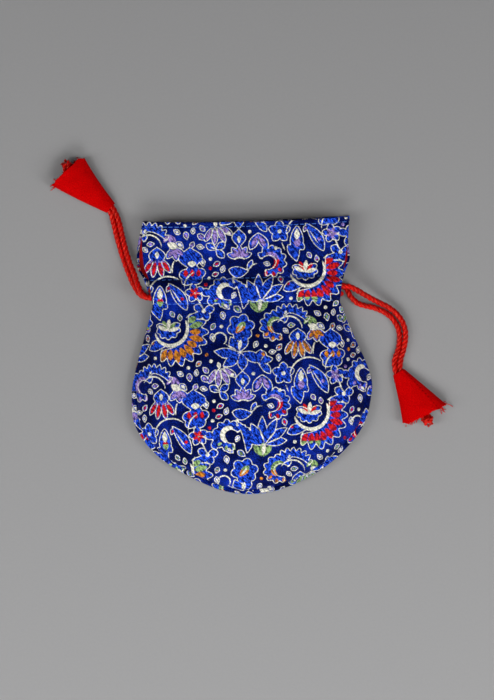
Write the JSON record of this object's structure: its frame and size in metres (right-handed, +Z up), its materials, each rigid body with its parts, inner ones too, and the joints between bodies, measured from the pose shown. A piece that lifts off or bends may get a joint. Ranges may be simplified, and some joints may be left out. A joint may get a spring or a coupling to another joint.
{
  "type": "drawstring gift pouch",
  "caption": "Small lined brocade gift pouch with a stitched casing, two drawstrings pulled from opposite sides, and fabric cone tassels on their ends.",
  "frame": {"origin": "under the middle of the cloth bag, on the surface it lies on, leaving out the strings and tassels", "axes": "+X across the bag, +Y towards its mouth, +Z up from the back face it lies on"},
  "size_m": [0.1678, 0.1487, 0.017],
  "materials": {
    "brocade": "woven satin brocade, blue with cream outlines and small bright accents",
    "lining_satin": "red satin, smooth",
    "sewing_thread": "blue spun thread",
    "rayon_cord": "shiny twisted red rayon",
    "tassel_cloth": "fine plain-woven red cloth with raw edges"
  },
  "bodies": {
    "pouch": {"front_panel": "brocade", "back_panel": "brocade", "front_lining": "lining_satin", "back_lining": "lining_satin", "front_casing": "brocade", "back_casing": "brocade", "front_casing_lining": "lining_satin", "back_casing_lining": "lining_satin", "front_casing_stitching_lower": "sewing_thread", "front_casing_stitching_upper": "sewing_thread", "back_casing_stitching_lower": "sewing_thread", "back_casing_stitching_upper": "sewing_thread", "seam_stitching": "sewing_thread"},
    "front_flap": {"front_header": "brocade", "front_header_lining": "lining_satin", "front_top_stitching": "sewing_thread"},
    "back_flap": {"back_header": "brocade", "back_header_lining": "lining_satin", "back_top_stitching": "sewing_thread"},
    "string_left": {"drawstring_left": "rayon_cord"},
    "string_right": {"drawstring_right": "rayon_cord"},
    "tassel_left": {"cord_tail_left": "rayon_cord", "knot_left": "rayon_cord", "tassel_cone_left": "tassel_cloth"},
    "tassel_right": {"cord_tail_right": "rayon_cord", "knot_right": "rayon_cord", "tassel_cone_right": "tassel_cloth"}
  },
  "joints": [
    {"name": "front_flap_flare", "type": "hinge", "parent": "pouch", "child": "front_flap", "pos_m": [0, 0.0344, 0.00885], "axis": [1, 0, 0], "range_deg": [0, 80]},
    {"name": "back_flap_flare", "type": "hinge", "parent": "pouch", "child": "back_flap", "pos_m": [0, 0.0344, 0], "axis": [-1, 0, 0], "range_deg": [0, 60]},
    {"name": "string_left_pull", "type": "slide", "parent": "pouch", "child": "string_left", "axis": [-1, 0, 0], "range_m": [0, 0.028], "deforming": ["front_casing_lining", "back_casing_lining"]},
    {"name": "string_right_pull", "type": "slide", "parent": "pouch", "child": "string_right", "axis": [1, 0, 0], "range_m": [0, 0.028]},
    {"name": "tassel_left_swing", "type": "hinge", "parent": "string_left", "child": "tassel_left", "pos_m": [-0.0574, 0.0628, 0.00185], "axis": [0, 0, 1], "range_deg": [-30, 30]},
    {"name": "tassel_right_swing", "type": "hinge", "parent": "string_right", "child": "tassel_right", "pos_m": [0.0631, -0.0052, 0.00185], "axis": [0, 0, 1], "range_deg": [-30, 30]}
  ]
}
